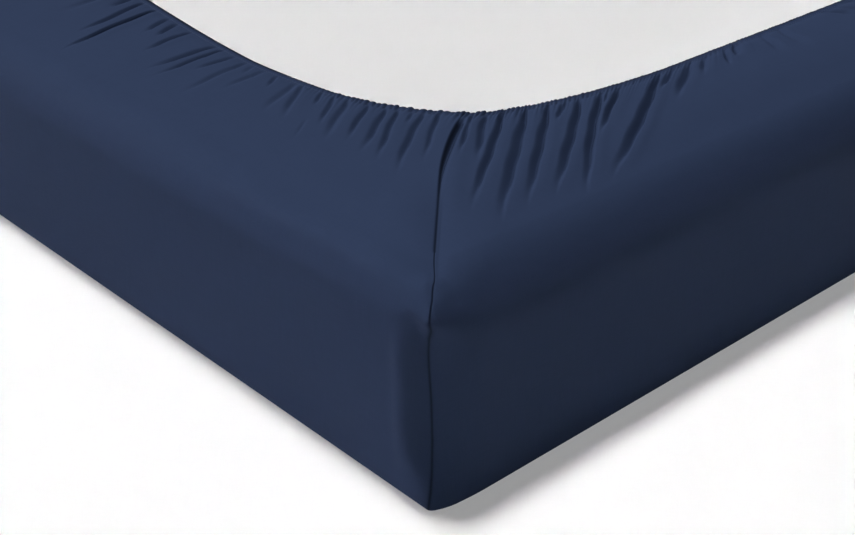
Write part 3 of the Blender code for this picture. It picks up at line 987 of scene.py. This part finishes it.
def make_mattress(material):
    """The covered mattress block, with a softly uneven upper face."""
    columns = columns_round(SIDE_LENGTH, mattress_spacing)
    rows, _ = wall_points(columns, MATTRESS_OFFSET, MATTRESS_STEPS)
    skin = Skin()
    for row in rows:
        row[:, 2] = np.clip(row[:, 2], MATTRESS_BOTTOM, MATTRESS_TOP)
    edge = rows[0]
    spine_x = np.clip(edge[:, 0], -(LENGTH - WIDTH) / 2, (LENGTH - WIDTH) / 2)
    tops = []
    for share in (0.97, 0.9, 0.8, 0.7, 0.6, 0.5, 0.4, 0.3, 0.2, 0.1):
        x = blend(edge[:, 0], spine_x, share)
        y = edge[:, 1] * (1.0 - share)
        z = MATTRESS_TOP - 0.0004 + 0.0004 * uneven(x * 0.4, y * 0.4) - droop(x, y)
        tops.append(np.stack([x, y, z], axis=-1))
    rings = [skin.ring(columns, row) for row in tops + rows]
    skin.cap(rings[0], inside_out=True)
    skin.join_all(rings)
    skin.cap(rings[-1])
    return skin.finish("mattress_pad", material)


# -------- materials
def new_material(name):
    material = bpy.data.materials.new(name)
    material.use_nodes = True
    tree = material.node_tree
    return material, tree, tree.nodes["Principled BSDF"]


def math_node(tree, operation, *inputs):
    node = tree.nodes.new("ShaderNodeMath")
    node.operation = operation
    for socket, value in zip(node.inputs, inputs):
        if isinstance(value, (int, float)):
            socket.default_value = value
        else:
            tree.links.new(value, socket)
    return node.outputs[0]


def cloth_coordinates(tree):
    """The vertex attribute with places along and across the cloth, and the share of painted shade
    in the seam grooves and along the hem's rim.
    """
    attribute = tree.nodes.new("ShaderNodeAttribute")
    attribute.attribute_name = "cloth"
    parts = tree.nodes.new("ShaderNodeSeparateXYZ")
    tree.links.new(attribute.outputs["Vector"], parts.inputs[0])
    return attribute.outputs["Vector"], parts.outputs


def stretched_noise(tree, vector, scale, detail):
    mapping = tree.nodes.new("ShaderNodeMapping")
    mapping.inputs["Scale"].default_value = scale
    tree.links.new(vector, mapping.inputs["Vector"])
    noise = tree.nodes.new("ShaderNodeTexNoise")
    noise.inputs["Scale"].default_value = 1.0
    noise.inputs["Detail"].default_value = detail
    tree.links.new(mapping.outputs[0], noise.inputs["Vector"])
    return noise.outputs[0]


def weave_height(tree, parts, pitch):
    """Plain weave: threads along and across pass over and under each other."""
    frequency = math.pi / pitch
    along = math_node(tree, "SINE", math_node(tree, "MULTIPLY", parts[0], frequency))
    across = math_node(tree, "SINE", math_node(tree, "MULTIPLY", parts[1], frequency))
    return math_node(tree, "MULTIPLY", along, across)


def mixed_colors(tree, factor, low, high):
    ramp = tree.nodes.new("ShaderNodeValToRGB")
    ramp.color_ramp.elements[0].position = 0.3
    ramp.color_ramp.elements[1].position = 0.7
    ramp.color_ramp.elements[0].color = (*low, 1.0)
    ramp.color_ramp.elements[1].color = (*high, 1.0)
    tree.links.new(factor, ramp.inputs[0])
    return ramp.outputs[0]


def add_bump(tree, shader, height, distance, strength):
    bump = tree.nodes.new("ShaderNodeBump")
    bump.inputs["Distance"].default_value = distance
    bump.inputs["Strength"].default_value = strength
    tree.links.new(height, bump.inputs["Height"])
    tree.links.new(bump.outputs[0], shader.inputs["Normal"])


NAVY = (0.0260, 0.0405, 0.0860)


def navy_cotton():
    """Fine navy cotton: faint threads in its colour, a plain weave, and painted shade in the seam
    grooves and along the hem's rim.
    """
    material, tree, shader = new_material("sheet_cotton")
    vector, parts = cloth_coordinates(tree)
    along = stretched_noise(tree, vector, (30.0, 1400.0, 0.0), 2.0)
    across = stretched_noise(tree, vector, (1400.0, 30.0, 0.0), 2.0)
    slow = stretched_noise(tree, vector, (6.0, 6.0, 0.0), 3.0)
    threads = math_node(tree, "ADD", along, across)
    tone = math_node(tree, "MULTIPLY", threads, 0.42)
    tone = math_node(tree, "MULTIPLY_ADD", slow, 0.16, tone)
    dark = tuple(0.93 * value for value in NAVY)
    light = tuple(1.07 * value for value in NAVY)
    cloth = mixed_colors(tree, tone, dark, light)
    mix = tree.nodes.new("ShaderNodeMix")
    mix.data_type = "RGBA"
    # Painted shade: a darker navy, mixed in where the mask marks the seam grooves and the hem's rim
    factor, cloth_color, painted_shade_color = mix.inputs[0], mix.inputs[6], mix.inputs[7]
    painted_shade_color.default_value = (*[0.30 * value for value in NAVY], 1.0)
    tree.links.new(math_node(tree, "MULTIPLY", parts[2], 0.9), factor)
    tree.links.new(cloth, cloth_color)
    tree.links.new(mix.outputs[2], shader.inputs["Base Color"])
    shader.inputs["Roughness"].default_value = 0.78
    shader.inputs["Specular IOR Level"].default_value = 0.03
    shader.inputs["Sheen Weight"].default_value = 0.02
    shader.inputs["Sheen Roughness"].default_value = 0.45
    shader.inputs["Sheen Tint"].default_value = (0.45, 0.60, 1.0, 1.0)
    weave = weave_height(tree, parts, 0.00042)
    height = math_node(tree, "MULTIPLY_ADD", threads, 0.8, weave)
    add_bump(tree, shader, height, 0.00003, 0.35)
    return material


def thread_navy():
    """Sewing thread, a shade lighter than the cloth."""
    material, tree, shader = new_material("thread_navy")
    place = tree.nodes.new("ShaderNodeTexCoord").outputs["Object"]
    noise = stretched_noise(tree, place, (900.0, 900.0, 900.0), 2.0)
    light = tuple(1.5 * value for value in NAVY)
    tree.links.new(mixed_colors(tree, noise, NAVY, light), shader.inputs["Base Color"])
    shader.inputs["Roughness"].default_value = 0.6
    shader.inputs["Specular IOR Level"].default_value = 0.25
    return material


def mattress_cover():
    """Light grey knitted cover with a faint soft relief."""
    material, tree, shader = new_material("mattress_cover")
    place = tree.nodes.new("ShaderNodeTexCoord").outputs["Object"]
    slow = stretched_noise(tree, place, (3.0, 3.0, 3.0), 3.0)
    fine = stretched_noise(tree, place, (700.0, 700.0, 700.0), 2.0)
    tone = math_node(tree, "MULTIPLY", slow, 0.6)
    tone = math_node(tree, "MULTIPLY_ADD", fine, 0.4, tone)
    color = mixed_colors(tree, tone, (0.682, 0.685, 0.688), (0.713, 0.713, 0.713))
    tree.links.new(color, shader.inputs["Base Color"])
    shader.inputs["Roughness"].default_value = 0.9
    shader.inputs["Specular IOR Level"].default_value = 0.2
    relief = stretched_noise(tree, place, (14.0, 14.0, 14.0), 1.0)
    height = math_node(tree, "MULTIPLY_ADD", relief, 3.0, fine)
    add_bump(tree, shader, height, 0.0001, 0.5)
    return material


def floor_white():
    material, _, shader = new_material("floor_white")
    shader.inputs["Base Color"].default_value = (0.93, 0.93, 0.93, 1.0)
    shader.inputs["Roughness"].default_value = 1.0
    shader.inputs["Specular IOR Level"].default_value = 0.0
    return material


# -------- studio
SKY = 0.03
# Suns: a vector towards the light, as long as the light it gives a surface that faces it, its
# angle, whether it casts shadows, and the names of the pieces that it lights, if not all
Sun = namedtuple("Sun", "name toward degrees shadow pieces")
SUNS = (
    Sun("key", Vector((-0.160, 0.030, 0.75)), 10.0, True, ()),
    Sun("top", Vector((0.0, 0.0, 0.31)), 11.0, False, ("floor", "mattress_pad")),
    Sun("fill", Vector((-0.424, -0.281, 0.291)), 18.0, True, ("sheet_cloth", "hem_stitches")),
)
# The camera's directions on the floor, and its place from the seen corner along them
CAMERA_AHEAD = Vector((-0.738, 0.675, 0.0))
CAMERA_RIGHT = Vector((0.675, 0.738, 0.0))
CAMERA_BEHIND = 0.9085
CAMERA_LEFT = 0.0054
CAMERA_HEIGHT = 0.7312
CAMERA_PITCH = math.radians(29.02)
CAMERA_LENS = 60.7


def add_sun(sun):
    light = bpy.data.lights.new(sun.name, "SUN")
    light.energy = math.pi * sun.toward.length
    light.angle = math.radians(sun.degrees)
    light.use_shadow = sun.shadow
    thing = add_object(sun.name, light)
    thing.rotation_euler = sun.toward.to_track_quat("Z", "Y").to_euler()
    if sun.pieces:
        lit = bpy.data.collections.new("lit_by_" + sun.name)
        for name in sun.pieces:
            lit.objects.link(bpy.data.objects[name])
        thing.light_linking.receiver_collection = lit


def make_studio():
    scene = bpy.context.scene
    world_light = bpy.data.worlds.new("studio")
    scene.world = world_light
    world_light.use_nodes = True
    background = world_light.node_tree.nodes["Background"]
    background.inputs["Color"].default_value = (1.0, 1.0, 1.0, 1.0)
    background.inputs["Strength"].default_value = SKY
    bpy.ops.mesh.primitive_plane_add(size=60.0, location=(0.0, 0.0, -0.0005))
    floor = bpy.context.object
    floor.name = "floor"
    floor.data.materials.append(floor_white())
    for sun in SUNS:
        add_sun(sun)
    scene.view_settings.view_transform = "Standard"
    scene.view_settings.look = "None"


def make_camera():
    corner = Vector((LENGTH / 2, -WIDTH / 2, 0.0))
    place = corner - CAMERA_BEHIND * CAMERA_AHEAD - CAMERA_LEFT * CAMERA_RIGHT
    place.z = CAMERA_HEIGHT
    view = CAMERA_AHEAD.normalized() * math.cos(CAMERA_PITCH)
    view.z = -math.sin(CAMERA_PITCH)
    camera = bpy.data.cameras.new("camera")
    camera.lens = CAMERA_LENS
    camera.sensor_width = 36.0
    thing = add_object("camera", camera)
    thing.location = place
    thing.rotation_euler = view.to_track_quat("-Z", "Y").to_euler()
    bpy.context.scene.camera = thing


# -------- scene
def main():
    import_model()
    make_camera()
    troughs = all_troughs()
    sheet = make_sheet(troughs, navy_cotton())
    stitches = make_stitches(troughs, thread_navy())
    mattress = make_mattress(mattress_cover())
    make_studio()
    for piece, slot in (
        (sheet, "sheet_cotton"),
        (stitches, "sheet_cotton"),
        (mattress, "mattress_cover"),
    ):
        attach(piece, "root")
    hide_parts("fitted_sheet")
    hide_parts("mattress")


main()
